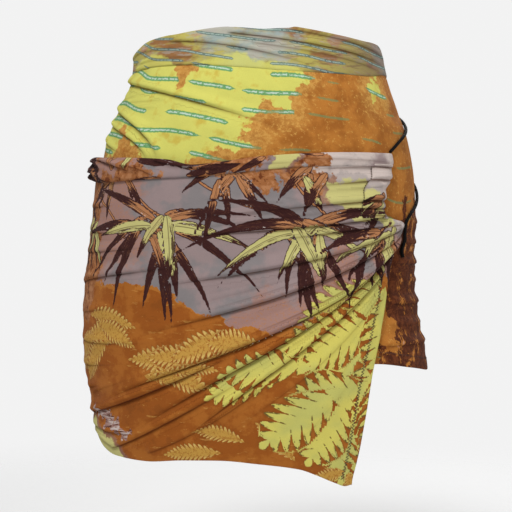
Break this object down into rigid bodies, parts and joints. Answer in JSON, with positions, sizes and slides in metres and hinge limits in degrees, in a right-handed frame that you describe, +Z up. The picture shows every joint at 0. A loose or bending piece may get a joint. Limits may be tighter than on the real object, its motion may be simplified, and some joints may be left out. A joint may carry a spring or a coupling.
{
  "type": "wrap mini skirt in its worn shape",
  "caption": "Hollow worn-shape wrap skirt: stretch tube with waistband, wrap with rolled top, gathered cord channel, pointed front corner and side cord.",
  "frame": {"origin": "middle of the waist opening, at the height of the front of the waist, where the wearer holds the skirt", "axes": "+Z up, the front faces -Y, +X is the side where the wrap ends and the cord shows"},
  "size_m": [0.3806, 0.2484, 0.4709],
  "materials": {
    "waistband_jersey": "printed stretch jersey, matt",
    "under_jersey": "printed stretch jersey, matt",
    "wrap_jersey": "printed stretch jersey, matt",
    "cord": "round knitted cord, black"
  },
  "bodies": {
    "root": {"waistband": "waistband_jersey", "under_front": "under_jersey", "under_back": "under_jersey", "wrap_front": "wrap_jersey", "wrap_back": "wrap_jersey", "fold_band": "wrap_jersey", "cord_channel": "wrap_jersey", "cord_upper": "cord", "cord_lower": "cord"}
  },
  "joints": []
}
